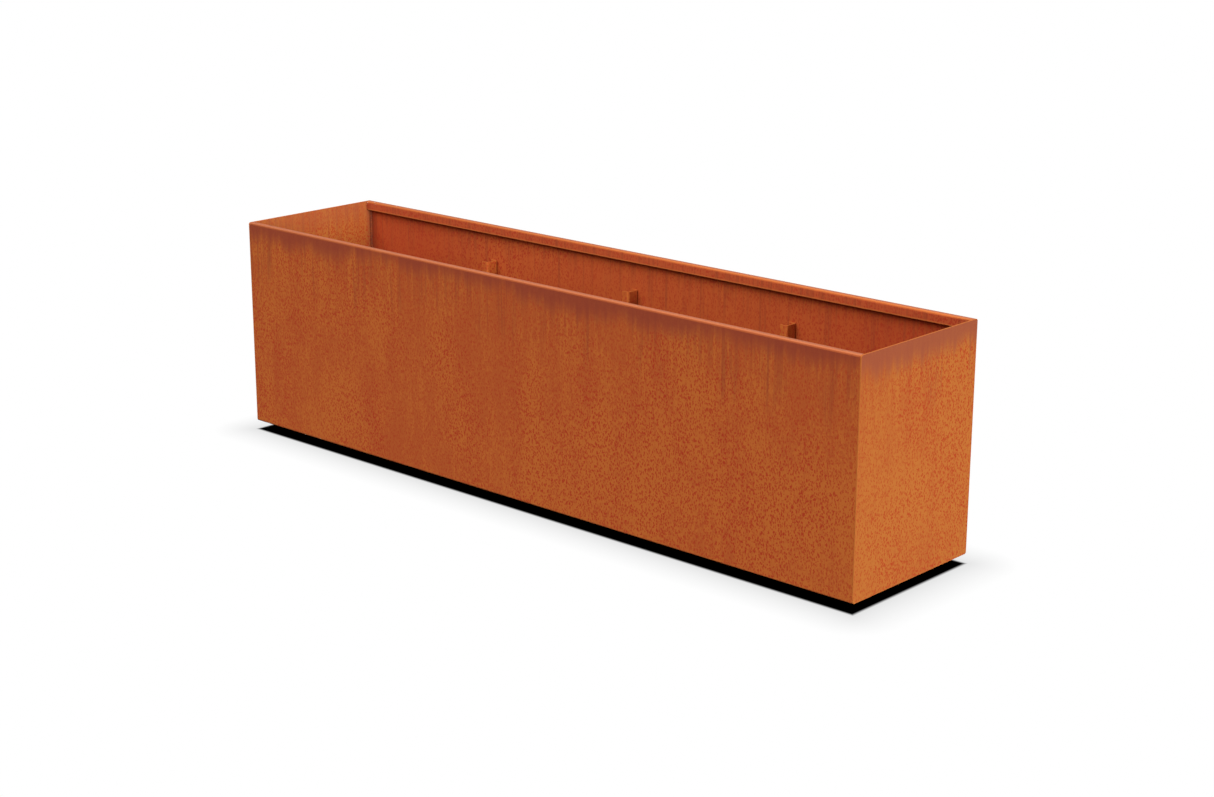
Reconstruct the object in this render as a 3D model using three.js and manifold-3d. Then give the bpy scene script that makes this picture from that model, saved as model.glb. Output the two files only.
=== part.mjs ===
// A long rectangular planter box of weathering steel sheet, standing on hidden tube skids.
//
// Two long walls are folded sheets: a rolled-in lip along the rim, and a flange along the foot.
// A flat panel is welded over each end, a floor panel with drain holes lies on the foot flanges,
// and three ribs stop the long walls from bowing: a channel up each wall and one across the floor.
//
// Frame: millimetres, +Z up. The origin is on the ground, under the middle of the box.
// +X runs along the length and -Y is the front. Every joint is a weld, so nothing moves.

import * as THREE from "three";
import { mergeVertices } from "three/addons/utils/BufferGeometryUtils.js";
import Module from "manifold-3d";

const INCH = 25.4;

// ---- Driving dimensions ----

const LENGTH = 84 * INCH; // over the end panels
const DEPTH = 18 * INCH; // over the long walls
const HEIGHT = 24 * INCH; // ground to rim
const GROUND_GAP = 1 * INCH; // ground to the underside of the box

const SHEET = INCH / 8; // every sheet is this thick
const BEND_INSIDE = 2.4; // radius inside a fold
const FIT_UP = 0.3; // gap left between pieces before they are welded

const LIP_WIDTH = 0.75 * INCH; // how far the rim folds inwards
const LIP_DROP = 1 * INCH; // how far it then folds down
const FOOT_FLANGE = 4 * INCH; // how far the foot of a long wall folds under the floor

const RIB_STATIONS = [-LENGTH / 4, 0, LENGTH / 4];
const RIB_DEPTH = 1.5 * INCH; // how far a channel stands off its wall or the floor
const RIB_WIDTH = (7 / 8) * INCH; // its width along the box
const RIB_WEB_OFFSET = (3 / 16) * INCH; // its solid side, measured from the station
const RIB_TOP = HEIGHT - 4 * INCH; // below the rim, so that soil hides it
const COPE = 9; // corner cut off a floor channel, so that the floor weld runs past it

const SKID_STATIONS = [-36 * INCH, ...RIB_STATIONS, 36 * INCH];
const SKID_LENGTH = 12 * INCH;
const SKID_WIDTH = 1 * INCH; // square tube, as tall as the gap that it makes
const SKID_WALL = INCH / 8;
const SKID_CORNER = 3.2; // radius outside its corners
const SKID_INNER_CORNER = 0.8; // radius inside them

const DRAIN_RADIUS = 0.375 * INCH;
const DRAIN_ROW = 2.5 * INCH; // each row's distance from the middle of the floor

const WELD_LEG = 5; // long seam fillets
const STITCH_LEG = 3; // fillets on ribs and skids
const WELD_BULGE = 0.62; // how far a fillet's face is drawn towards its outer corner, as a share of its leg
const STITCH_LENGTH = 1 * INCH;
const STITCH_HEIGHTS = { lower: 6 * INCH, upper: 18 * INCH }; // centres, above the ground

const ARC_STEPS = 3; // curve divisions, which three.js doubles on an arc

// ---- Places worked out from them ----

const BEND_OUTSIDE = BEND_INSIDE + SHEET;
const BOX_FOOT = GROUND_GAP;
const WALL_INNER_Y = DEPTH / 2 - SHEET;
const END_INNER_X = LENGTH / 2 - SHEET;
const FLOOR_UNDERSIDE = BOX_FOOT + SHEET + FIT_UP;
const FLOOR_TOP = FLOOR_UNDERSIDE + SHEET;
const FLOOR_CHANNEL_TOP = FLOOR_TOP + FIT_UP + RIB_DEPTH;
const CLEAR_DEPTH = 2 * (WALL_INNER_Y - FIT_UP); // between the long walls
const CLEAR_LENGTH = 2 * (END_INNER_X - FIT_UP); // between the end panels
const RIM_BEND_FOOT = HEIGHT - BEND_OUTSIDE; // where a long wall starts to curve over into its lip

// ---- Materials ----

const weatheringSteel = (name, colour) =>
  new THREE.MeshStandardMaterial({ name, color: colour, roughness: 0.85, metalness: 0.1 });

const OUTER_RUST = weatheringSteel("outer rust", "#b5601f");
const END_RUST = weatheringSteel("end rust", "#c9742d");
const FLOOR_RUST = weatheringSteel("floor rust", "#8a4526");
const RIB_RUST = weatheringSteel("rib rust", "#96431f");
const WELD_RUST = weatheringSteel("weld rust", "#5c3325");
const SKID_BLACK = new THREE.MeshStandardMaterial({
  name: "skid black",
  color: "#1d1b1a",
  roughness: 0.6,
  metalness: 0.3,
});

// ---- Cross-sections ----

/**
 * A closed outline of straight sides at right angles, each corner rounded to its own radius.
 * It starts with a rounded corner or with two sharp ones, because an arc isn't joined to a bare start.
 */
function roundedOutline(corners) {
  const outline = new THREE.Shape();
  corners.forEach(([x, y, radius = 0], i) => {
    const here = new THREE.Vector2(x, y);
    const towards = (k) => {
      const [nextX, nextY] = corners[(i + k + corners.length) % corners.length];
      return new THREE.Vector2(nextX, nextY).sub(here).normalize();
    };
    if (radius === 0) {
      if (i === 0) outline.moveTo(x, y);
      else outline.lineTo(x, y);
      return;
    }
    const before = towards(-1);
    const after = towards(1);
    const centre = here.clone().addScaledVector(before, radius).addScaledVector(after, radius);
    const startAngle = Math.atan2(-after.y, -after.x);
    const endAngle = Math.atan2(-before.y, -before.x);
    outline.absarc(centre.x, centre.y, radius, startAngle, endAngle, before.cross(after) > 0);
  });
  return outline;
}

/** A rectangle with all four corners rounded. */
const roundedRectangle = (x0, y0, x1, y1, radius) =>
  roundedOutline([
    [x0, y0, radius],
    [x1, y0, radius],
    [x1, y1, radius],
    [x0, y1, radius],
  ]);

/**
 * The section of a sheet folded at right angles, always to the same side.
 * face lists the corners of its outer face, from one cut edge to the other.
 */
function foldedSection(face) {
  const points = face.map(([x, y]) => new THREE.Vector2(x, y));
  const run = (i) => points[i + 1].clone().sub(points[i]).normalize();
  const side = Math.sign(run(0).cross(run(1)));
  const inwards = (i) => new THREE.Vector2(-run(i).y, run(i).x).multiplyScalar(side * SHEET);
  const last = points.length - 1;
  const inner = points.map((point, i) => {
    const offset = point.clone();
    if (i > 0) offset.add(inwards(i - 1));
    if (i < last) offset.add(inwards(i));
    return offset;
  });
  const withRadius = (list, radius) =>
    list.map(({ x, y }, i) => [x, y, i === 0 || i === last ? 0 : radius]);
  const [tip, ...back] = withRadius(inner, BEND_INSIDE);
  return roundedOutline([tip, ...withRadius(points, BEND_OUTSIDE), ...back.reverse()]);
}

/** A fillet weld's section: two legs from its root, and a slightly bulging face. */
function filletSection(leg) {
  const bulge = WELD_BULGE * leg;
  const section = new THREE.Shape();
  section.moveTo(0, 0);
  section.lineTo(leg, 0);
  section.quadraticCurveTo(bulge, bulge, 0, leg);
  return section;
}

/** The section of a rib channel: solid side at x = 0, open towards -x, its back at y = 0. */
const ribSection = (standOff) =>
  foldedSection([
    [-RIB_WIDTH, 0],
    [0, 0],
    [0, standOff],
    [-RIB_WIDTH, standOff],
  ]);

// ---- Solids from sections ----

const X = new THREE.Vector3(1, 0, 0);
const Y = new THREE.Vector3(0, 1, 0);
const Z = new THREE.Vector3(0, 0, 1);

/** Extrudes a section, centred on its own plane if asked, and turns its x, y and depth to three axes. */
function extruded(section, length, [across, up, along] = [X, Y, Z], centred = true) {
  const geometry = new THREE.ExtrudeGeometry(section, {
    depth: length,
    bevelEnabled: false,
    curveSegments: ARC_STEPS,
  });
  if (centred) geometry.translate(0, 0, -length / 2);
  return geometry.applyMatrix4(new THREE.Matrix4().makeBasis(across, up, along));
}

/** Section x inwards from the front, section y up, extruded along the box. */
const ALONG_BOX = [Y, Z, X];
/** Section x across the box, section y up, extruded from front to back. */
const ACROSS_BOX = [X.clone().negate(), Z, Y];

const wasm = await Module();
wasm.setup();

function toSolid(geometry) {
  const bare = geometry.clone();
  bare.deleteAttribute("normal");
  bare.deleteAttribute("uv");
  const merged = mergeVertices(bare);
  return new wasm.Manifold(
    new wasm.Mesh({
      numProp: 3,
      vertProperties: merged.attributes.position.array,
      triVerts: new Uint32Array(merged.index.array),
    }),
  );
}

function toGeometry(solid) {
  const { vertProperties, triVerts } = solid.getMesh();
  const geometry = new THREE.BufferGeometry();
  geometry.setAttribute("position", new THREE.BufferAttribute(vertProperties, 3));
  geometry.setIndex(new THREE.BufferAttribute(triVerts, 1));
  return geometry;
}

const cut = (geometry, cutters) =>
  toGeometry(cutters.reduce((solid, cutter) => solid.subtract(toSolid(cutter)), toSolid(geometry)));

// ---- The assembly ----

const planter = new THREE.Group();

/** Adds one named piece at a position, then turns both about the vertical through the origin. */
function add(name, geometry, material, position, turn = 0) {
  const piece = new THREE.Mesh(geometry, material);
  piece.name = name;
  piece.position.set(...position);
  const turned = new THREE.Group();
  turned.rotation.z = turn;
  turned.add(piece);
  planter.add(turned);
}

const FRONT_AND_BACK = [
  { side: "front", turn: 0, sign: -1 },
  { side: "back", turn: Math.PI, sign: 1 },
];
const LEFT_AND_RIGHT = [
  { side: "left", turn: -Math.PI / 2, sign: -1 },
  { side: "right", turn: Math.PI / 2, sign: 1 },
];

function addLongWalls() {
  const section = foldedSection([
    [FOOT_FLANGE, BOX_FOOT],
    [0, BOX_FOOT],
    [0, HEIGHT],
    [LIP_WIDTH, HEIGHT],
    [LIP_WIDTH, HEIGHT - LIP_DROP],
  ]);
  for (const { side, turn } of FRONT_AND_BACK)
    add(side + "_wall", extruded(section, CLEAR_LENGTH, ALONG_BOX), OUTER_RUST, [0, -DEPTH / 2, 0], turn);
}

function addEndPanels() {
  const outline = roundedRectangle(-DEPTH / 2, BOX_FOOT, DEPTH / 2, HEIGHT, BEND_OUTSIDE);
  for (const { side, sign } of LEFT_AND_RIGHT)
    add(side + "_end_panel", extruded(outline, SHEET, ALONG_BOX), END_RUST, [
      sign * (LENGTH / 2 - SHEET / 2),
      0,
      0,
    ]);
}

/** Drain holes lie halfway between neighbouring skids, in two rows. */
function drainCentres() {
  return SKID_STATIONS.slice(1).flatMap((station, i) => {
    const x = (station + SKID_STATIONS[i]) / 2;
    return [
      [x, -DRAIN_ROW],
      [x, DRAIN_ROW],
    ];
  });
}

function addFloor() {
  const outline = roundedRectangle(
    -CLEAR_LENGTH / 2,
    -CLEAR_DEPTH / 2 + BEND_INSIDE,
    CLEAR_LENGTH / 2,
    CLEAR_DEPTH / 2 - BEND_INSIDE,
    BEND_INSIDE,
  );
  for (const [x, y] of drainCentres()) {
    const hole = new THREE.Path();
    hole.absarc(x, y, DRAIN_RADIUS, 0, 2 * Math.PI, true);
    outline.holes.push(hole);
  }
  add("floor_panel", extruded(outline, SHEET, [X, Y, Z], false), FLOOR_RUST, [0, 0, FLOOR_UNDERSIDE]);
}

/** A channel up each long wall at every station, standing on the floor channel between them. */
function addRibs() {
  const foot = FLOOR_CHANNEL_TOP + FIT_UP;
  const cope = new THREE.BoxGeometry(3 * RIB_WIDTH, 2 * COPE, 2 * COPE);
  const copes = [-1, 1].map((sign) => cope.clone().translate(0, (sign * CLEAR_DEPTH) / 2, 0));
  const floorSection = foldedSection([
    [RIB_WIDTH, 0],
    [0, 0],
    [0, RIB_DEPTH],
    [RIB_WIDTH, RIB_DEPTH],
  ]);
  const floorChannel = cut(extruded(floorSection, CLEAR_DEPTH, ACROSS_BOX), copes);
  RIB_STATIONS.forEach((station, i) => {
    const web = station + RIB_WEB_OFFSET;
    for (const { side, sign } of FRONT_AND_BACK)
      add(
        side + "_stiffener_" + (i + 1),
        extruded(ribSection(-sign * RIB_DEPTH), RIB_TOP - foot, [X, Y, Z], false),
        RIB_RUST,
        [web, sign * (WALL_INNER_Y - FIT_UP), foot],
      );
    add("floor_channel_" + (i + 1), floorChannel, RIB_RUST, [web, 0, FLOOR_TOP + FIT_UP]);
  });
}

function addSkids() {
  const top = GROUND_GAP - FIT_UP;
  const half = SKID_WIDTH / 2;
  const bore = half - SKID_WALL;
  const section = roundedRectangle(-half, 0, half, top, SKID_CORNER);
  section.holes.push(roundedRectangle(-bore, SKID_WALL, bore, top - SKID_WALL, SKID_INNER_CORNER));
  SKID_STATIONS.forEach((station, i) =>
    add("skid_" + (i + 1), extruded(section, SKID_LENGTH, ACROSS_BOX), SKID_BLACK, [station, 0, 0]),
  );
}

/** Continuous fillets inside the box: up its four corners and around its floor. */
function addSeamWelds() {
  const section = filletSection(WELD_LEG);
  const root = 2 * FIT_UP;
  const cornerFoot = FLOOR_TOP + WELD_LEG + root + FIT_UP;
  const cornerWeld = extruded(section, RIM_BEND_FOOT - FIT_UP - cornerFoot, [X, Y, Z], false);
  const corners = [
    ["front_left", -1, -1, 0],
    ["front_right", 1, -1, Math.PI / 2],
    ["back_right", 1, 1, Math.PI],
    ["back_left", -1, 1, -Math.PI / 2],
  ];
  for (const [corner, signX, signY, turn] of corners) {
    const weld = cornerWeld.clone().rotateZ(turn);
    add("corner_weld_" + corner, weld, WELD_RUST, [
      signX * (END_INNER_X - root),
      signY * (WALL_INNER_Y - root),
      cornerFoot,
    ]);
  }
  const between = 2 * (END_INNER_X - root);
  const across = 2 * (WALL_INNER_Y - root - WELD_LEG - FIT_UP);
  for (const { side, turn } of FRONT_AND_BACK)
    add("floor_weld_" + side, extruded(section, between, ALONG_BOX), WELD_RUST, [
      0,
      -WALL_INNER_Y + root,
      FLOOR_TOP + FIT_UP,
    ], turn);
  for (const { side, turn } of LEFT_AND_RIGHT)
    add("floor_weld_" + side, extruded(section, across, ALONG_BOX), WELD_RUST, [
      0,
      -END_INNER_X + root,
      FLOOR_TOP + FIT_UP,
    ], turn);
}

/** Short fillets that hold the ribs to the walls, to each other and to the floor. */
function addRibWelds() {
  const section = filletSection(STITCH_LEG);
  const footWeld = extruded(section, RIB_WIDTH - 2 * BEND_OUTSIDE, ALONG_BOX);
  const floorRun = 2 * (WALL_INNER_Y - COPE - 2 * FIT_UP);
  RIB_STATIONS.forEach((station, i) => {
    const web = station + RIB_WEB_OFFSET;
    const openEdge = web - RIB_WIDTH - FIT_UP;
    for (const { side, turn, sign } of FRONT_AND_BACK) {
      const legsTurn = side === "front" ? Math.PI / 2 : Math.PI; // one leg on the wall, one on the rib
      const stitch = extruded(section, STITCH_LENGTH).rotateZ(legsTurn);
      for (const [place, height] of Object.entries(STITCH_HEIGHTS))
        add("wall_stitch_" + side + "_" + (i + 1) + "_" + place, stitch, WELD_RUST, [
          openEdge,
          sign * (WALL_INNER_Y - FIT_UP),
          height,
        ]);
      add("foot_weld_" + side + "_" + (i + 1), footWeld.clone().rotateZ(turn), WELD_RUST, [
        web - RIB_WIDTH / 2,
        sign * (WALL_INNER_Y - RIB_DEPTH - 2 * FIT_UP),
        FLOOR_CHANNEL_TOP + FIT_UP,
      ]);
    }
    const floorWeld = extruded(section, floorRun, ACROSS_BOX);
    add("floor_channel_weld_" + (i + 1), floorWeld, WELD_RUST, [openEdge, 0, FLOOR_TOP + FIT_UP]);
  });
}

/** One fillet across each end of every skid, up against the foot flange. */
function addSkidWelds() {
  const weld = extruded(filletSection(STITCH_LEG), SKID_WIDTH - 2 * SKID_CORNER, ALONG_BOX);
  weld.rotateX(Math.PI);
  SKID_STATIONS.forEach((station, i) => {
    for (const { side, turn, sign } of FRONT_AND_BACK)
      add("skid_weld_" + side + "_" + (i + 1), weld.clone().rotateZ(turn), WELD_RUST, [
        station,
        sign * (SKID_LENGTH / 2 + FIT_UP),
        BOX_FOOT - FIT_UP,
      ]);
  });
}

addLongWalls();
addEndPanels();
addFloor();
addRibs();
addSkids();
addSeamWelds();
addRibWelds();
addSkidWelds();

export default planter;
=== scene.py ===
# %% [markdown]
# # A planter box in weathering steel
#
# The real object is a long open box of folded and welded sheet steel that has grown an even
# coat of rust. The CAD model, loaded here as a fixed frame, says where each sheet, rib, tube
# and weld is. This lesson makes the same pieces again as finished meshes: sheets with true
# folds and deburred edges, weld beads with ripples, and a rust skin made only of nodes.

# %% Load the frame
import math
import random

import bmesh
import bpy
from mathutils import Matrix, Vector


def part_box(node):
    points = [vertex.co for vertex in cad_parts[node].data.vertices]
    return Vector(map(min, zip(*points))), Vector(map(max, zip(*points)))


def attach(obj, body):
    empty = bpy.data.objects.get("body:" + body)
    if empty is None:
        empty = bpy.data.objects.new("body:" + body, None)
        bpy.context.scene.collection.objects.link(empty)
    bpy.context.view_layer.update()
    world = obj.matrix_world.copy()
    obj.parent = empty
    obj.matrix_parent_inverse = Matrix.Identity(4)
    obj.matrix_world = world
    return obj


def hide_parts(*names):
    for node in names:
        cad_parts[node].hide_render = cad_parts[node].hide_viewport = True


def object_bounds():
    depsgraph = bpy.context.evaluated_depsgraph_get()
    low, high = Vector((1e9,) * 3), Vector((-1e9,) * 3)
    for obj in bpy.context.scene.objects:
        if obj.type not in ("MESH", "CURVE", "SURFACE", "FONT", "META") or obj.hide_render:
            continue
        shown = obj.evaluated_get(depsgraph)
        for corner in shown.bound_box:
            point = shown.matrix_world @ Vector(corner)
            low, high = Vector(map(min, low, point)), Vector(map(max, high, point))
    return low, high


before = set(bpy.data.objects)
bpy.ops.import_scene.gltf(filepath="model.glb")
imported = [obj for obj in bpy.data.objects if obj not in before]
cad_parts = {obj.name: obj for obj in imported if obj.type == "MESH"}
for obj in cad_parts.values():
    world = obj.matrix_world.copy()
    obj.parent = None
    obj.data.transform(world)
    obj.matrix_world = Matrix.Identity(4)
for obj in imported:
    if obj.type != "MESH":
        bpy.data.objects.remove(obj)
cad_low, cad_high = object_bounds()
print("CAD box, in metres:", [round(side, 4) for side in cad_high - cad_low])

# %% [markdown]
# ## Sizes
#
# The outside sizes are read from the frame, so they always agree with it. What a box can't
# tell, such as the radius of a fold, is a named length here.

# %% Sizes from the frame and of the sheet work
INCH = 0.0254

LENGTH, DEPTH, RIM = cad_high.x - cad_low.x, cad_high.y - cad_low.y, cad_high.z
panel_low, panel_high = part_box("right_end_panel")
SHEET = panel_high.x - panel_low.x
FOOT = panel_low.z
WALL_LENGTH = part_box("front_wall")[1].x * 2
BEND_INSIDE = 2.4e-3
FOLD_RADIUS = BEND_INSIDE + SHEET
LIP_WIDTH, LIP_DROP, FOOT_FLANGE = 0.75 * INCH, 1 * INCH, 4 * INCH
DEBURR = 0.45e-3
print(f"sheet {SHEET * 1000:.2f} mm, foot at {FOOT * 1000:.1f} mm, rim at {RIM * 1000:.1f} mm")

# %% [markdown]
# ## The camera
#
# A long lens a few paces away, above the rim, so that one long side, one end and a strip of
# the inside show together. It is made first, because everything else is judged through it.

# %% Camera
CAMERA_PLACE = (3.7649, -3.9912, 1.8377)
AZIMUTH, LOOK_DOWN, ROLL = 42.56, 16.11, 0.12
SENSOR_WIDTH, FOCAL_LENGTH = 36, 64.43


def turned(degrees, axis):
    return Matrix.Rotation(math.radians(degrees), 4, axis)


lens = bpy.data.cameras.new("camera")
lens.sensor_width, lens.lens = SENSOR_WIDTH, FOCAL_LENGTH
camera = bpy.data.objects.new("camera", lens)
camera.location = CAMERA_PLACE
facing = turned(AZIMUTH, "Z") @ turned(90 - LOOK_DOWN, "X") @ turned(ROLL, "Z")
camera.rotation_euler = facing.to_euler()
bpy.context.scene.collection.objects.link(camera)
bpy.context.scene.camera = camera
print("camera at", CAMERA_PLACE, "looking", AZIMUTH, "degrees round and", LOOK_DOWN, "down")

# %% [markdown]
# ## Node sums as Python
#
# A rust skin is mostly arithmetic: distances, thresholds, masks times masks. A socket wrapped
# in a small class can be added and multiplied like a number, and each sum adds its Math node.
# Every other node comes from one method, which sets the node up before it feeds its sockets.

# %% The wire class
class Wire:
    """One socket of a material's node tree."""

    def __init__(self, tree, socket):
        self.tree, self.socket = tree, socket

    def node(self, kind, settings, inputs, output=0):
        made = self.tree.nodes.new("ShaderNode" + kind)
        for name, value in settings.items():
            setattr(made, name, value)
        for entry, value in inputs.items():
            if isinstance(value, Wire):
                self.tree.links.new(value.socket, made.inputs[entry])
            else:
                made.inputs[entry].default_value = value
        return Wire(self.tree, made.outputs[output])

    def math(self, operation, *terms):
        return self.node("Math", {"operation": operation}, dict(enumerate(terms)))

    def __add__(self, other):
        return self.math("ADD", self, other)

    def __sub__(self, other):
        return self.math("SUBTRACT", self, other)

    def __rsub__(self, other):
        return self.math("SUBTRACT", other, self)

    def __mul__(self, other):
        return self.math("MULTIPLY", self, other)

    __radd__, __rmul__ = __add__, __mul__

    def between(self, start, end):
        """0 before start and 1 after end, with a smooth step between them."""
        settings = {"interpolation_type": "SMOOTHSTEP"}
        return self.node("MapRange", settings, {"Value": self, "From Min": start, "From Max": end})

    def stretched(self, factors):
        """This position, with each axis scaled."""
        return self.node("VectorMath", {"operation": "MULTIPLY"}, {0: self, 1: factors})

    def noise(self, scale, detail=2.0, roughness=0.5, lacunarity=2.0):
        values = {"Vector": self, "Scale": scale, "Detail": detail, "Roughness": roughness}
        return self.node("TexNoise", {"noise_dimensions": "3D"}, {**values, "Lacunarity": lacunarity})

    def tint(self, below, above):
        """A colour between two colours, with this value as the share of the second."""
        return self.node("Mix", {"data_type": "RGBA"}, {0: self, 6: below, 7: above}, output=2)


def start_material(name):
    """A new node material: its shader, and the position that patterns are made on."""
    made = bpy.data.materials.new(name)
    made.use_nodes = True
    shader = made.node_tree.nodes["Principled BSDF"]
    start = Wire(made.node_tree, shader.outputs[0])
    return made, shader, start.node("TexCoord", {}, {}, output="Object")


def connect(wire, shader, socket):
    wire.tree.links.new(wire.socket, shader.inputs[socket])


print("a Wire can:", [name for name in vars(Wire) if not name.startswith("__")])

# %% [markdown]
# ## The rust skin
#
# Weathering steel rusts in layers. Underneath is an ochre coat with drifting, cloudy patches.
# All over it lie small red-brown flecks, a little taller than wide, and a little stronger
# where the coat is thick. Rain runs off the rim: it keeps a smooth maroon band along the top
# and draws fine streaks down from it. Cut and folded edges are brighter, partly from wear and
# partly as a painted highlight. The tops along the rim get a paler painted sheen, the inner
# corners a painted shade, and the inner faces are redder.
#
# All of it is 3-D noise read at the object's own position, so the pattern carries on from
# one sheet to the next with no seams. Stretching the position before the noise turns round
# blotches into streaks. The end sheets have a yellower set of the same colours, a lit copy
# that paints in their brighter light, and the floor has a darker one.

# %% Colours of the rust
def colour(red, green, blue):
    return (red, green, blue, 1.0)


def shaded(colours, share):
    return {name: colour(*(part * share for part in value[:3])) for name, value in colours.items()}


WALL_COLOURS = dict(
    ochre=colour(0.414, 0.103, 0.0152),
    tawny=colour(0.362, 0.071, 0.0124),
    fleck=colour(0.326, 0.023, 0.0050),
    maroon=colour(0.224, 0.035, 0.0150),
    run=colour(0.240, 0.042, 0.0120),
    # The worn colour brightens edges, partly for wear and partly as a painted highlight.
    worn_edge_highlight=colour(0.500, 0.132, 0.0220),
    # The rim top colour is paler and pinker than the rust: a painted sheen on the tops along the rim.
    rim_top_sheen=colour(0.405, 0.126, 0.0600),
    lip_face=colour(0.385, 0.064, 0.0165),
    inner=colour(0.445, 0.070, 0.0138),
)
# The ends' set is a yellower, lit copy of the walls' colours: painted light for the brighter-lit end
# sheets.
LIT_END_COLOURS = dict(
    ochre=colour(0.420, 0.127, 0.0203),
    tawny=colour(0.386, 0.096, 0.0168),
    fleck=colour(0.353, 0.023, 0.0036),
    maroon=colour(0.270, 0.062, 0.0280),
    run=colour(0.270, 0.062, 0.0190),
    # The worn colour brightens edges, partly for wear and partly as a painted highlight.
    worn_edge_highlight=colour(0.440, 0.122, 0.0200),
    # The rim top colour is a painted sheen on the tops along the rim.
    rim_top_sheen=colour(0.400, 0.108, 0.0400),
)
print(len(WALL_COLOURS), "colours for the walls and", len(LIT_END_COLOURS), "for the ends")

# %% [markdown]
# ### Masks that know the box
#
# Some of the colour depends on where a point is on the box and not on noise: the rim band
# is only on the outer faces, wear and a painted highlight follow the outline and the lip's
# crest and lower edge, a painted shade darkens the inner corners, and dark lines run along
# the seams. Each mask is worked out from how far a point is from the box's own planes, so it
# is the same on every piece that meets there.

# %% Where on the box
def part_of(place, axis):
    return place.node("SeparateXYZ", {}, {0: place}, output=axis)


def size_of(wire):
    return wire.math("ABSOLUTE", wire)


def end_gap(place):
    return LENGTH / 2 - size_of(part_of(place, "X"))


def side_gap(place):
    return DEPTH / 2 - size_of(part_of(place, "Y"))


def rim_gap(place):
    return RIM - part_of(place, "Z")


def on_outside(place):
    """1 on the outer faces of the sheets and 0 on their inner faces."""
    past_end = size_of(part_of(place, "X")) - (LENGTH / 2 - SHEET / 2)
    past_side = size_of(part_of(place, "Y")) - (DEPTH / 2 - SHEET / 2)
    return place.math("MAXIMUM", past_end, past_side).between(-0.4e-3, 0.4e-3)


def near_outline(place):
    """1 within a few millimetres of the box's own edges, seen from outside."""
    across = place.math("MAXIMUM", end_gap(place), side_gap(place))
    upright = place.math("MINIMUM", rim_gap(place), part_of(place, "Z") - FOOT)
    return 1.0 - place.math("MINIMUM", across, upright).between(1.0e-3, 4.0e-3)


def seam_line(place):
    """1 along the dark line where a wall meets an end sheet."""
    off_seam = size_of(size_of(part_of(place, "X")) - WALL_LENGTH / 2)
    return 1.0 - off_seam.between(0.3e-3, 1.4e-3)


def corner_shade_mask(place):
    """1 in the upright corners of the box, fading out a few centimetres away from them: the reach of the
    painted corner shade.
    """
    off_sheets = place.math("MAXIMUM", end_gap(place), side_gap(place))
    return 1.0 - off_sheets.between(0.006, 0.034)


def on_lip(place):
    """1 on the face of the turned-down lip."""
    past_drop = side_gap(place).between(LIP_WIDTH - SHEET - 2e-3, LIP_WIDTH - SHEET)
    above = part_of(place, "Z") - (RIM - LIP_DROP)
    return past_drop * above.between(-1.2e-3, -0.2e-3)


def lip_crest(place):
    """1 along the fold where the rim's flat top turns down into the lip."""
    near_top = part_of(place, "Z").between(RIM - 4e-3, RIM - 1.5e-3)
    return side_gap(place).between(LIP_WIDTH - 5e-3, LIP_WIDTH - 2e-3) * near_top


def lip_edge(place):
    """1 along the lower edge of the turned-down lip."""
    above = part_of(place, "Z") - (RIM - LIP_DROP)
    return (1.0 - above.between(2.0e-3, 4.5e-3)) * on_lip(place)


print("masks: outer faces, outline, seams, inner corners, lip face, lip crest, lip edge")

# %% Layers of the rust
FLECK_GAP, FLECK_SQUEEZE, FRAY = 4.8e-3, 0.58, 0.006


def cloud_tone(place):
    """Large soft patches, from tawny at 0 to ochre at 1, with upright drift near the rim."""
    clouds = place.stretched((1.0, 1.0, 0.8)).noise(3.0, detail=3.0, roughness=0.55)
    drift = place.stretched((1.0, 1.0, 0.22)).noise(24.0, detail=3.0, roughness=0.6)
    fibre = place.stretched((1.0, 1.0, 0.45)).noise(190.0, detail=2.0, roughness=0.6)
    wash = place.stretched((1.0, 1.0, 0.04)).noise(90.0, detail=2.0) - 0.5
    near_rim = 1.0 - rim_gap(place).between(0.05, 0.26)
    tone = 0.44 * clouds + 0.22 * drift + 0.34 * fibre + 0.30 * wash * near_rim
    return tone.between(0.42, 0.58)


def part_of_colour(wire, channel):
    return wire.node("SeparateColor", {}, {0: wire}, output=channel)


def fleck_spots(place):
    """1 in each fleck: an upright spot somewhere in its own cell, stronger where rust is thick."""
    tall = place.stretched((1.0, 1.0, FLECK_SQUEEZE))
    frayed = tall.node("TexNoise", {}, {"Vector": tall, "Scale": 300.0, "Detail": 1.0}, output="Color")
    centred = frayed.node("VectorMath", {"operation": "SUBTRACT"}, {0: frayed, 1: (0.5, 0.5, 0.5)})
    shift = centred.node("VectorMath", {"operation": "SCALE"}, {0: centred, "Scale": FRAY})
    bent = tall.node("VectorMath", {"operation": "ADD"}, {0: tall, 1: shift})
    values = {"Vector": bent, "Scale": 1 / FLECK_GAP}
    distance = bent.node("TexVoronoi", {}, values, output="Distance")
    chance = part_of_colour(bent.node("TexVoronoi", {}, values, output="Color"), "Red")
    thick = place.stretched((1.0, 1.0, 0.7)).noise(3.4, detail=2.0, roughness=0.6).between(0.38, 0.60)
    radius = 0.32 + 0.12 * chance + 0.03 * thick
    return (radius - distance).between(-0.10, 0.10) * (0.68 + 0.32 * thick)


def rim_band(place, depth):
    """1 in the maroon band along the rim, with a soft, streaky lower edge."""
    sway = place.stretched((1.0, 1.0, 0.1)).noise(5.5, detail=2.0, roughness=0.5) - 0.5
    fringe = place.stretched((1.0, 1.0, 0.05)).noise(60.0, detail=3.0, roughness=0.6) - 0.5
    lower_edge = depth + 0.10 * sway + 0.07 * fringe
    return 1.0 - (rim_gap(place) - lower_edge).between(-0.022, 0.034)


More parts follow.
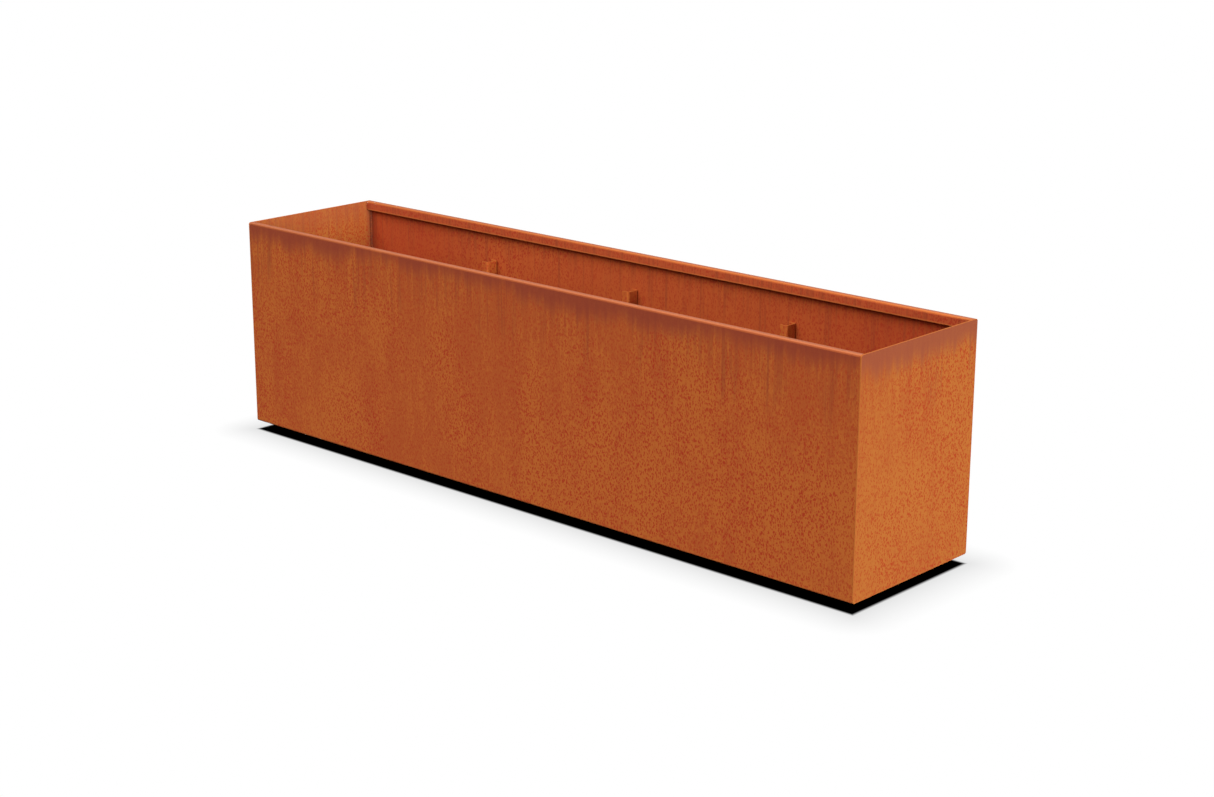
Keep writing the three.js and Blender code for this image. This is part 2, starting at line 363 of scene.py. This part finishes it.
def rain_runs(place):
    """Fine dark streaks down from the rim, fading out below."""
    thread = place.stretched((1.0, 1.0, 0.020)).noise(120.0, detail=3.0, roughness=0.65)
    length = place.stretched((1.0, 1.0, 0.0)).noise(23.0, detail=2.0).between(0.42, 0.64)
    fade = 1.0 - (rim_gap(place) - 0.10 * length).between(0.03, 0.12)
    return thread.between(0.46, 0.66) * fade


print("layers: clouds, flecks, rim band, rain runs")

# %% The rust skin's recipe
FLECK_SHARE, RUN_SHARE, EDGE_WEAR_HIGHLIGHT_SHARE, SEAM_SHARE = 0.9, 0.55, 0.3, 0.6
INNER_SHARE, END_DARKEN_SHARE, CORNER_SHADE_SHARE = 0.6, 0.36, 0.8
LIP_EDGE_HIGHLIGHT_SHARE, LIP_CREST_HIGHLIGHT_SHARE = 0.5, 0.7
END_DARKEN_START, END_DARKEN_END = 0.45, 0.85
RUST_SHINE = 0.22


def tint_inner_face(skin, place, inside, colours, lip):
    """A long wall's inner face is redder, reddest towards its ends, and so is its lip."""
    skin = (inside * INNER_SHARE).tint(skin, colours["inner"])
    darker_ends = inside * size_of(part_of(place, "X")).between(END_DARKEN_START, END_DARKEN_END)
    skin = (darker_ends * END_DARKEN_SHARE).tint(skin, colours["fleck"])
    return (on_lip(place) * lip).tint(skin, colours["lip_face"])


def tint_outline(skin, place, outside, edge_wear_highlight, colours, top):
    """The outline, brighter partly from wear and partly as a painted highlight, the dark seams beside the
    end sheets, and a paler painted sheen on the tops of the sheets.
    """
    skin = (near_outline(place) * outside * edge_wear_highlight * EDGE_WEAR_HIGHLIGHT_SHARE).tint(skin, colours["worn_edge_highlight"])
    skin = (seam_line(place) * outside * SEAM_SHARE).tint(skin, colours["fleck"])
    return part_of(place, "Z").between(RIM - top, RIM - top * 0.3).tint(skin, colours["rim_top_sheen"])


def rust_skin(name, colours, band=0.0, top=3.0e-3, lip=0.0):
    """A coat of rust. band is the depth of the maroon rim band, if it has one, top how far
    down the paler painted sheen on the tops of the sheets reaches, and lip how red the turned-down lip is."""
    made, shader, place = start_material(name)
    spots = fleck_spots(place)
    grain = place.stretched((1.0, 1.0, 0.7)).noise(330.0, detail=2.0, roughness=0.6)
    skin = cloud_tone(place).tint(colours["tawny"], colours["ochre"])
    if band:
        outside = on_outside(place)
        inside = 1.0 - outside
        in_band = rim_band(place, band) * (0.35 + 0.65 * outside)
        if lip:
            in_band = in_band * outside
            skin = tint_inner_face(skin, place, inside, colours, lip)
        # Painted shade: the inner corners are darkened towards the colour of the rain runs.
        skin = (corner_shade_mask(place) * inside * CORNER_SHADE_SHARE).tint(skin, colours["run"])
        spots = spots * (1.0 - in_band * 0.8)
        skin = (spots * FLECK_SHARE).tint(skin, colours["fleck"])
        skin = (rain_runs(place) * RUN_SHARE).tint(skin, colours["run"])
        skin = (in_band * (0.70 + 0.30 * grain)).tint(skin, colours["maroon"])
        # Edges outside the band brighten, partly for wear and partly as a painted highlight.
        edge_wear_highlight = (1.0 - in_band) * grain.between(0.30, 0.55)
        skin = tint_outline(skin, place, outside, edge_wear_highlight, colours, top)
    else:
        skin = (spots * FLECK_SHARE).tint(skin, colours["fleck"])
    if lip:
        # Painted highlight, with some wear, along the lip's crest and its lower edge.
        lip_wear_highlight = lip_edge(place) * LIP_EDGE_HIGHLIGHT_SHARE + lip_crest(place) * LIP_CREST_HIGHLIGHT_SHARE
        skin = lip_wear_highlight.tint(skin, colours["worn_edge_highlight"])
    # Marked cut and folded edges brighten, partly for wear and partly as a painted highlight.
    edge = place.node("Attribute", {"attribute_name": "edge"}, {}, output="Fac")
    skin = (edge * grain.between(0.25, 0.50)).tint(skin, colours["worn_edge_highlight"])
    connect(skin, shader, "Base Color")

    connect(0.90 - spots * 0.08 + (grain - 0.5) * 0.2, shader, "Roughness")
    relief = grain * 0.6 + place.noise(620.0, detail=2.0) * 0.3 + spots * 0.3
    bump = relief.node("Bump", {}, {"Strength": 0.25, "Distance": 0.0005, "Height": relief})
    connect(bump, shader, "Normal")
    shader.inputs["Specular IOR Level"].default_value = RUST_SHINE
    return made


wall_rust = rust_skin("wall_rust", WALL_COLOURS, band=0.028, lip=0.8)
end_rust = rust_skin("end_rust", LIT_END_COLOURS, band=0.045, top=1e-3)
# The ribs get a lit copy of the wall's colours, 1.16 times as bright: painted light. Their edges turn
# ochre.
rib_rust = rust_skin("rib_rust", {**shaded(WALL_COLOURS, 1.16), "worn_edge_highlight": WALL_COLOURS["ochre"]})
floor_rust = rust_skin("floor_rust", shaded(WALL_COLOURS, 0.6))
print("rust skins:", [m.name for m in bpy.data.materials if m.name.endswith("rust")])

# %% [markdown]
# ## Weld metal and skid paint
#
# A weld bead rusts darker and more purple than the sheet, in blotches and bright specks. The
# skids under the box are tube, dipped in black paint that has scuffed where it meets the
# ground, with rust bleeding through the scuffs.

# %% Weld and skid materials
WELD_COLOURS = dict(
    bead=colour(0.150, 0.026, 0.0090),
    blotch=colour(0.270, 0.050, 0.0115),
    speck=colour(0.340, 0.080, 0.0150),
)
SKID_COLOURS = dict(
    paint=colour(0.010, 0.010, 0.010),
    dust=colour(0.030, 0.027, 0.025),
    scuff=colour(0.060, 0.050, 0.045),
    chip=colour(0.200, 0.055, 0.020),
)
WELD_SHINE = 0.25


def weld_skin(name):
    made, shader, place = start_material(name)
    blotch = place.noise(160.0, detail=3.0, roughness=0.6).between(0.40, 0.62)
    speck = place.noise(620.0, detail=2.0, roughness=0.6).between(0.50, 0.66)
    skin = blotch.tint(WELD_COLOURS["bead"], WELD_COLOURS["blotch"])
    connect((speck * 0.6).tint(skin, WELD_COLOURS["speck"]), shader, "Base Color")
    connect(0.70 + blotch * 0.20, shader, "Roughness")
    bump = speck.node("Bump", {}, {"Strength": 0.3, "Distance": 0.0003, "Height": speck})
    connect(bump, shader, "Normal")
    shader.inputs["Specular IOR Level"].default_value = WELD_SHINE
    return made


def skid_paint(name):
    made, shader, place = start_material(name)
    dust = place.noise(60.0, detail=4.0, roughness=0.65)
    scuff = (dust - part_of(place, "Z") * 14.0).between(0.36, 0.50)
    chip = place.noise(260.0, detail=2.0).between(0.60, 0.68) * scuff
    skin = dust.between(0.35, 0.75).tint(SKID_COLOURS["paint"], SKID_COLOURS["dust"])
    skin = (scuff * 0.5).tint(skin, SKID_COLOURS["scuff"])
    connect(chip.tint(skin, SKID_COLOURS["chip"]), shader, "Base Color")
    connect(0.45 + scuff * 0.35, shader, "Roughness")
    bump = dust.node("Bump", {}, {"Strength": 0.2, "Distance": 0.0003, "Height": dust})
    connect(bump, shader, "Normal")
    return made


weld_rust = weld_skin("weld_rust")
skid_black = skid_paint("skid_black")
print("other finishes:", weld_rust.name, skid_black.name)

# %% [markdown]
# ## Finishing a piece
#
# Every piece ends the same way. Its cut edges are deburred with a tiny bevel, whose faces are
# marked in an attribute named edge, so that the rust skin can brighten them. Its normals are
# made to point out, it rides on the one body of the frame, and it stands for its CAD nodes.

# %% Deburring and finishing
SHARP = math.radians(40)


def mark_faces(bm, faces, amount):
    """Writes the edge attribute of some faces."""
    edge_mark = bm.loops.layers.float.get("edge") or bm.loops.layers.float.new("edge")
    for face in faces:
        for loop in face.loops:
            loop[edge_mark] = amount


def deburr(bm, size=DEBURR):
    """Rounds every sharp edge of a closed solid and marks the new faces as edge."""
    bmesh.ops.recalc_face_normals(bm, faces=bm.faces[:])
    bm.normal_update()
    sharp = [e for e in bm.edges if e.calc_face_angle(0) > SHARP]
    rounded = bmesh.ops.bevel(
        bm,
        geom=sharp,
        offset=size,
        offset_type="OFFSET",
        segments=2,
        profile=0.5,
        affect="EDGES",
        material=-1,
    )
    for face in rounded["faces"]:
        face.smooth = True
    mark_faces(bm, rounded["faces"], 1.0)


def finish_piece(bm, name, material, slot, *nodes):
    """Makes the bmesh a piece of the object, standing for its CAD nodes."""
    bmesh.ops.recalc_face_normals(bm, faces=bm.faces[:])
    mesh = bpy.data.meshes.new(name)
    bm.to_mesh(mesh)
    bm.free()
    mesh.materials.append(material)
    piece = bpy.data.objects.new(name, mesh)
    bpy.context.scene.collection.objects.link(piece)
    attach(piece, "root")
    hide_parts(*nodes)
    return piece


def size_mm(piece):
    return [round(side * 1000, 1) for side in piece.dimensions]


print("sharp means over", round(math.degrees(SHARP)), "degrees, deburred by", DEBURR * 1000, "mm")

# %% [markdown]
# ## Folded sheets
#
# On the real box a long wall is one sheet, folded on a press brake: in at the foot, up, over
# into the lip and down again. The mesh is made in the same order. A few points mark the
# folds, an extrusion sweeps them along the wall, a bevel rounds each fold, solidify gives the
# sheet its thickness, and the deburring ends it. Ribs and tubes are short folded sheets too.

# %% Fold a sheet
# A fold's mark sets how much it brightens: partly wear, partly a painted highlight.
FOLD_STEPS, FOLD_WEAR_HIGHLIGHT = 8, 0.3
SAME_LENGTH = 1e-5


def fold_sheet(corners, start, end, where, radius=FOLD_RADIUS, closed=False, snip=None):
    """A sheet folded at each corner of its outer face, swept from start to end.
    The corners go clockwise, with the inside of the fold on their right, so that the faces
    point outwards. snip cuts the flat sheet before it has a thickness."""
    bm = bmesh.new()
    points = [bm.verts.new((across, up, start)) for across, up in corners]
    pairs = list(zip(points, points[1:])) + ([(points[-1], points[0])] if closed else [])
    profile = [bm.edges.new(pair) for pair in pairs]
    swept = bmesh.ops.extrude_edge_only(bm, edges=profile)["geom"]
    far = [v for v in swept if isinstance(v, bmesh.types.BMVert)]
    bmesh.ops.translate(bm, verts=far, vec=(0, 0, end - start))
    folds = [e for e in bm.edges if len(e.link_faces) == 2]
    bent = bmesh.ops.bevel(
        bm,
        geom=folds,
        offset=radius,
        offset_type="OFFSET",
        segments=FOLD_STEPS,
        profile=0.5,
        affect="EDGES",
        material=-1,
    )
    for face in bent["faces"]:
        face.smooth = True
    mark_faces(bm, bent["faces"], FOLD_WEAR_HIGHLIGHT)
    if snip:
        snip(bm)
    return thicken(bm, where)


def thicken(bm, where):
    """Gives an open sheet its thickness behind its faces, deburrs it and puts it in place."""
    bm.normal_update()
    bmesh.ops.solidify(bm, geom=bm.faces[:], thickness=SHEET)
    through = {e for e in bm.edges if abs(e.calc_length() - SHEET) < SAME_LENGTH}
    cut_faces = [f for f in bm.faces if not through.isdisjoint(f.edges)]
    mark_faces(bm, cut_faces, 1.0)
    deburr(bm)
    bmesh.ops.transform(bm, matrix=where, verts=bm.verts)
    return bm


def placing(across, up, along, origin=(0, 0, 0)):
    """The matrix that takes a section's three directions to three axes, at an origin."""
    turn = Matrix((across, up, along)).transposed().to_4x4()
    return Matrix.Translation(origin) @ turn


print("each fold is", FOLD_STEPS, "steps round a radius of", round(FOLD_RADIUS * 1000, 2), "mm")

# %% Long walls
wall_corners = [
    (FOOT_FLANGE, FOOT),
    (0, FOOT),
    (0, RIM),
    (LIP_WIDTH, RIM),
    (LIP_WIDTH, RIM - LIP_DROP),
]
for side, inwards in (("front", 1), ("back", -1)):
    place = placing((0, inwards, 0), (0, 0, 1), (1, 0, 0), (0, -inwards * DEPTH / 2, 0))
    bm = fold_sheet(wall_corners, -WALL_LENGTH / 2, WALL_LENGTH / 2, place)
    wall = finish_piece(bm, side + "_wall_sheet", wall_rust, "outer_rust", side + "_wall")
    print(wall.name, size_mm(wall), "mm,", len(wall.data.polygons), "faces")

# %% [markdown]
# ## End panels
#
# Each end is a flat blank, laid over the ends of both walls and welded inside. Its corners
# are rounded to the same radius as the folds, so that the outline carries straight on. It
# starts as one face, whose four corners are bevelled.

# %% End panels
def rounded_blank(low, high, radius):
    """One flat face between two corners, with its own corners rounded."""
    bm = bmesh.new()
    bmesh.ops.create_grid(bm, x_segments=1, y_segments=1, size=0.5)
    bmesh.ops.scale(bm, vec=(high[0] - low[0], high[1] - low[1], 1), verts=bm.verts)
    middle = ((low[0] + high[0]) / 2, (low[1] + high[1]) / 2, 0)
    bmesh.ops.translate(bm, vec=middle, verts=bm.verts)
    bmesh.ops.bevel(
        bm,
        geom=bm.verts[:],
        offset=radius,
        offset_type="OFFSET",
        segments=FOLD_STEPS,
        profile=0.5,
        affect="VERTICES",
        material=-1,
    )
    return bm


for side, sign in (("left", -1), ("right", 1)):
    bm = rounded_blank((-DEPTH / 2, FOOT), (DEPTH / 2, RIM), FOLD_RADIUS)
    place = placing((0, sign, 0), (0, 0, 1), (sign, 0, 0), (sign * LENGTH / 2, 0, 0))
    panel = finish_piece(thicken(bm, place), side + "_end_sheet", end_rust, "end_rust", side + "_end_panel")
    print(panel.name, size_mm(panel), "mm,", len(panel.data.polygons), "faces")

# %% [markdown]
# ## The floor
#
# A flat sheet lies on the two foot flanges and has two rows of drain holes. An outline and
# its holes can be drawn as loose edges, and triangle_fill then skins only what is between.
# The new faces look down, so the sheet is placed by its underside and thickens upwards.

# %% Floor panel with drain holes
DRAIN_RADIUS, DRAIN_ROW, DRAIN_STEPS = 0.375 * INCH, 2.5 * INCH, 32

floor_low, floor_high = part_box("floor_panel")
skid_lines = sorted((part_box(f"skid_{i}")[0].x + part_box(f"skid_{i}")[1].x) / 2 for i in range(1, 6))
drains = [((a + b) / 2, row) for a, b in zip(skid_lines, skid_lines[1:]) for row in (-DRAIN_ROW, DRAIN_ROW)]

bm = rounded_blank(floor_low.xy, floor_high.xy, FOLD_RADIUS / 2)
bmesh.ops.delete(bm, geom=bm.faces[:], context="FACES_ONLY")
for x, y in drains:
    hole = Matrix.Translation((x, y, 0))
    bmesh.ops.create_circle(bm, cap_ends=False, segments=DRAIN_STEPS, radius=DRAIN_RADIUS, matrix=hole)
bmesh.ops.triangle_fill(bm, use_beauty=True, use_dissolve=False, edges=bm.edges[:])
place = placing((1, 0, 0), (0, 1, 0), (0, 0, 1), (0, 0, floor_low.z))
floor_sheet = finish_piece(thicken(bm, place), "floor_sheet", floor_rust, "floor_rust", "floor_panel")
underside = min(v.co.z for v in floor_sheet.data.vertices)
print(floor_sheet.name, size_mm(floor_sheet), "mm,", len(drains), "drain holes")
print(f"its underside is at {underside * 1000:.2f} mm and belongs at {floor_low.z * 1000:.2f} mm")

# %% [markdown]
# ## Ribs
#
# Soil pushes the long walls out, so a light channel stands against each wall at three places,
# with a third channel lying across the floor between them. Their solid sides all face the
# same way. The floor channels have their lower corners snipped off, so that the weld along
# the floor can run past them: two cuts with bisect_plane, and the corner is deleted.

# %% Ribs
COPE = 9e-3


def channel(width, stand_off):
    """The corners of a channel's outer face, open towards -across."""
    return [(-width, stand_off), (0, stand_off), (0, 0), (-width, 0)]


def snip_ends(half_run):
    """A cut that takes the lower corner off both ends of a channel lying on the floor."""

    def snip(bm):
        for sign in (-1, 1):
            cuts = [((0, 0, sign * (half_run - COPE)), (0, 0, 1)), ((0, COPE, 0), (0, 1, 0))]
            for point, across in cuts:
                whole = bm.verts[:] + bm.edges[:] + bm.faces[:]
                bmesh.ops.bisect_plane(bm, geom=whole, plane_co=point, plane_no=across)
        corner = []
        for face in bm.faces:
            middle = face.calc_center_median()
            if abs(middle.z) > half_run - COPE and middle.y < COPE:
                corner.append(face)
        bmesh.ops.delete(bm, geom=corner, context="FACES")

    return snip


for number in (1, 2, 3):
    for side, inwards in (("front", 1), ("back", -1)):
        node = f"{side}_stiffener_{number}"
        low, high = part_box(node)
        back = low.y if inwards == 1 else high.y
        place = placing((1, 0, 0), (0, inwards, 0), (0, 0, 1), (high.x, back, 0))
        bm = fold_sheet(channel(high.x - low.x, high.y - low.y), low.z, high.z, place)
        finish_piece(bm, f"{side}_rib_{number}", rib_rust, "rib_rust", node)
    node = f"floor_channel_{number}"
    low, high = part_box(node)
    place = placing((1, 0, 0), (0, 0, 1), (0, 1, 0), (high.x, 0, low.z))
    bm = fold_sheet(channel(high.x - low.x, high.z - low.z), low.y, high.y, place, snip=snip_ends(high.y))
    cross = finish_piece(bm, f"floor_rib_{number}", rib_rust, "rib_rust", node)
    print("rib", number, "at", round(high.x * 1000, 1), "mm; floor piece", size_mm(cross), "mm")

# %% [markdown]
# ## Skids
#
# Five short lengths of square tube keep the box off the ground, so that the underside dries.
# A tube is a folded sheet whose last fold meets its first.

# %% Skids
SKID_CORNER = 3.2e-3

for number in range(1, 6):
    low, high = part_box(f"skid_{number}")
    middle, half = (low.x + high.x) / 2, (high.x - low.x) / 2
    square = [(-half, low.z), (-half, high.z), (half, high.z), (half, low.z)]
    place = placing((1, 0, 0), (0, 0, 1), (0, 1, 0), (middle, 0, 0))
    bm = fold_sheet(square, low.y, high.y, place, radius=SKID_CORNER, closed=True)
    skid = finish_piece(bm, f"skid_tube_{number}", skid_black, "skid_black", f"skid_{number}")
    print(skid.name, size_mm(skid), "mm at x =", round(middle, 3))

# %% [markdown]
# ## Weld beads
#
# A fillet weld is laid as a row of overlapping puddles, which freeze as curved ripples. Each
# bead starts as a round bar, cut across into many short steps. Every ring is swollen a little
# in turn, later at its middle than at its toes, which bends the ripples into crescents. The
# bar is then pressed into its corner, so that its back is flat against both sheets and its
# face is flattened, and its two ends are drawn down to the crater where the arc stopped.

# %% Lay a bead
BEAD_SIDES, STEPS_A_RIPPLE, FLATNESS = 16, 4, 0.6
BODY, RIPPLE_HEIGHT, RIPPLE_BEND, DRIFT = 0.93, 0.055, 0.35, 0.03
TAPER, CRATER = 4e-3, 0.45
SAME_POINT = 1e-6


def lay_bead(leg, run, ripple):
    """A bead along +Z from 0, in the corner between +X and +Y, with ripples of that length."""
    steps = max(6, round(run / ripple) * STEPS_A_RIPPLE)
    bm = bmesh.new()
    raised = Matrix.Translation((0, 0, run / 2))
    bmesh.ops.create_cone(
        bm, cap_ends=True, segments=BEAD_SIDES, radius1=1, radius2=1, depth=run, matrix=raised
    )
    long_edges = [e for e in bm.edges if abs(e.verts[0].co.z - e.verts[1].co.z) > run / 2]
    bmesh.ops.subdivide_edges(bm, edges=long_edges, cuts=steps, use_grid_fill=True)
    wander = random.Random(round(run * 1e4) + round(leg * 1e6))
    drift = [wander.uniform(-DRIFT, DRIFT) for _ in range(steps + 2)]
    for v in bm.verts:
        across, up = max(0.0, v.co.x), max(0.0, v.co.y)
        phase = v.co.z / ripple - RIPPLE_BEND * (across + up) / math.sqrt(2)
        rise = RIPPLE_HEIGHT * abs(math.sin(math.pi * phase))
        swell = BODY + rise + drift[round(v.co.z / run * (steps + 1))]
        end = min(v.co.z, run - v.co.z, TAPER) / TAPER
        taper = CRATER + (1 - CRATER) * math.sin(end * math.pi / 2)
        size = leg * swell * taper / max(1.0, across + up) ** FLATNESS
        v.co.x, v.co.y = size * across, size * up
    bmesh.ops.remove_doubles(bm, verts=bm.verts, dist=SAME_POINT)
    bmesh.ops.dissolve_degenerate(bm, dist=SAME_POINT, edges=bm.edges)
    for face in bm.faces:
        face.smooth = True
    return bm


def weld(node, first_leg, second_leg, ripple):
    """A bead in the corner that a CAD weld fills. The legs are the directions of its two sheets."""
    low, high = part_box(node)
    first, second = Vector(first_leg), Vector(second_leg)
    along = first.cross(second)
    spans = high - low
    leg, run = abs(spans.dot(first)), abs(spans.dot(along))
    root = Vector([low[i] if (first + second + along)[i] > 0 else high[i] for i in range(3)])
    bm = lay_bead(leg, run, ripple)
    bmesh.ops.transform(bm, matrix=placing(first, second, along, root), verts=bm.verts)
    return finish_piece(bm, "bead_" + node, weld_rust, "weld_rust", node)


X, Y, Z = Vector((1, 0, 0)), Vector((0, 1, 0)), Vector((0, 0, 1))
LONG_RIPPLE, SHORT_RIPPLE = 2.6e-3, 2.0e-3
print("a bead has", BEAD_SIDES, "sides and", STEPS_A_RIPPLE, "steps to a ripple")

# %% Long seams inside the box
seams = {
    "corner_weld_front_left": (X, Y),
    "corner_weld_front_right": (-X, Y),
    "corner_weld_back_right": (-X, -Y),
    "corner_weld_back_left": (X, -Y),
    "floor_weld_front": (Y, Z),
    "floor_weld_back": (-Y, Z),
    "floor_weld_left": (X, Z),
    "floor_weld_right": (-X, Z),
}
for node, legs in seams.items():
    bead = weld(node, *legs, LONG_RIPPLE)
    print(bead.name, size_mm(bead), "mm,", len(bead.data.polygons), "faces")

# %% Short welds on ribs and skids
short_welds = {}
for number in (1, 2, 3):
    for side, off_wall in (("front", Y), ("back", -Y)):
        for level in ("lower", "upper"):
            short_welds[f"wall_stitch_{side}_{number}_{level}"] = (-X, off_wall)
        short_welds[f"foot_weld_{side}_{number}"] = (off_wall, Z)
    short_welds[f"floor_channel_weld_{number}"] = (-X, Z)
for number in range(1, 6):
    for side, outwards in (("front", -Y), ("back", Y)):
        short_welds[f"skid_weld_{side}_{number}"] = (outwards, -Z)
for node, legs in short_welds.items():
    weld(node, *legs, SHORT_RIPPLE)
print(len(short_welds), "short welds")

# %% [markdown]
# ## Floor and light
#
# A wide, soft window light comes from high on the camera's side and gives the lip its shadow.
# A low, narrower light at the right-hand end makes that end the brightest side and reaches
# in over the rim. A dim sky fills in the rest. Both lamps are far off, so that no part of a
# long box is nearer to its light than another.
#
# The floor is a glowing white sheet, so that it stays evenly white. A real floor would be
# black under the box, where the gap lets in no light, and grey for a hand's breadth round
# it. That shade depends only on the distance from the box's outline, so it is worked out
# from that distance. Only the camera sees the glow: light from below would wash out the box.

# %% Studio floor
FLOOR_SPREAD = 24.0
FLOOR_WHITE, HALO_GREY = 1.05, 0.78
HALO_REACH, CONTACT_BLUR = 0.22, 0.006


def floor_light(place):
    """The floor's brightness: black under the box, a grey halo round it, and white beyond."""
    past_end = size_of(part_of(place, "X")) - LENGTH / 2
    past_side = size_of(part_of(place, "Y")) - DEPTH / 2
    outside = place.math("MAXIMUM", past_end, past_side).between(-CONTACT_BLUR, CONTACT_BLUR)
    out_x, out_y = place.math("MAXIMUM", past_end, 0.0), place.math("MAXIMUM", past_side, 0.0)
    away = place.math("SQRT", out_x * out_x + out_y * out_y)
    halo = place.math("MAXIMUM", 1.0 - away * (1 / HALO_REACH), 0.0)
    return (FLOOR_WHITE - (FLOOR_WHITE - HALO_GREY) * halo * halo) * outside


bm = bmesh.new()
bmesh.ops.create_grid(bm, x_segments=1, y_segments=1, size=FLOOR_SPREAD)
mesh = bpy.data.meshes.new("studio_floor")
bm.to_mesh(mesh)
bm.free()
studio_white, shader, place = start_material("studio_white")
seen = place.node("LightPath", {}, {}, output="Is Camera Ray")
lit = floor_light(place) * seen
connect(lit.tint(colour(0, 0, 0), colour(1, 1, 1)), shader, "Emission Color")
shader.inputs["Emission Strength"].default_value = 1.0
shader.inputs["Base Color"].default_value = colour(0, 0, 0)
shader.inputs["Specular IOR Level"].default_value = 0.0
mesh.materials.append(studio_white)
studio = bpy.data.objects.new("studio_floor", mesh)
bpy.context.scene.collection.objects.link(studio)
print("floor", FLOOR_SPREAD * 2, "m across")

# %% Sky and lamps
SKY_LIGHT, SKY_SEEN = 0.45, 1.05


def far_lamp(name, azimuth, elevation, width, strength):
    """A lamp so far off that its light is even: azimuth and elevation say where it stands."""
    lamp = bpy.data.lights.new(name, "SUN")
    lamp.angle, lamp.energy = math.radians(width), strength
    made = bpy.data.objects.new(name, lamp)
    flat = math.cos(math.radians(elevation))
    turn = math.radians(azimuth)
    towards = Vector((flat * math.cos(turn), flat * math.sin(turn), math.sin(math.radians(elevation))))
    made.rotation_euler = towards.to_track_quat("Z", "Y").to_euler()
    bpy.context.scene.collection.objects.link(made)
    return made


world = bpy.data.worlds.new("white_sky")
bpy.context.scene.world = world
world.use_nodes = True
sky = world.node_tree.nodes["Background"]
seen = Wire(world.node_tree, sky.outputs[0]).node("LightPath", {}, {}, output="Is Camera Ray")
sky_grey = colour(SKY_LIGHT, SKY_LIGHT, SKY_LIGHT)
connect(seen.tint(sky_grey, colour(SKY_SEEN, SKY_SEEN, SKY_SEEN)), sky, "Color")
far_lamp("window_light", azimuth=-95, elevation=52, width=50, strength=3.5)
far_lamp("end_light", azimuth=-5, elevation=3.8, width=8, strength=3.4)
bpy.context.scene.view_settings.view_transform = "Standard"
bpy.context.scene.view_settings.look = "None"
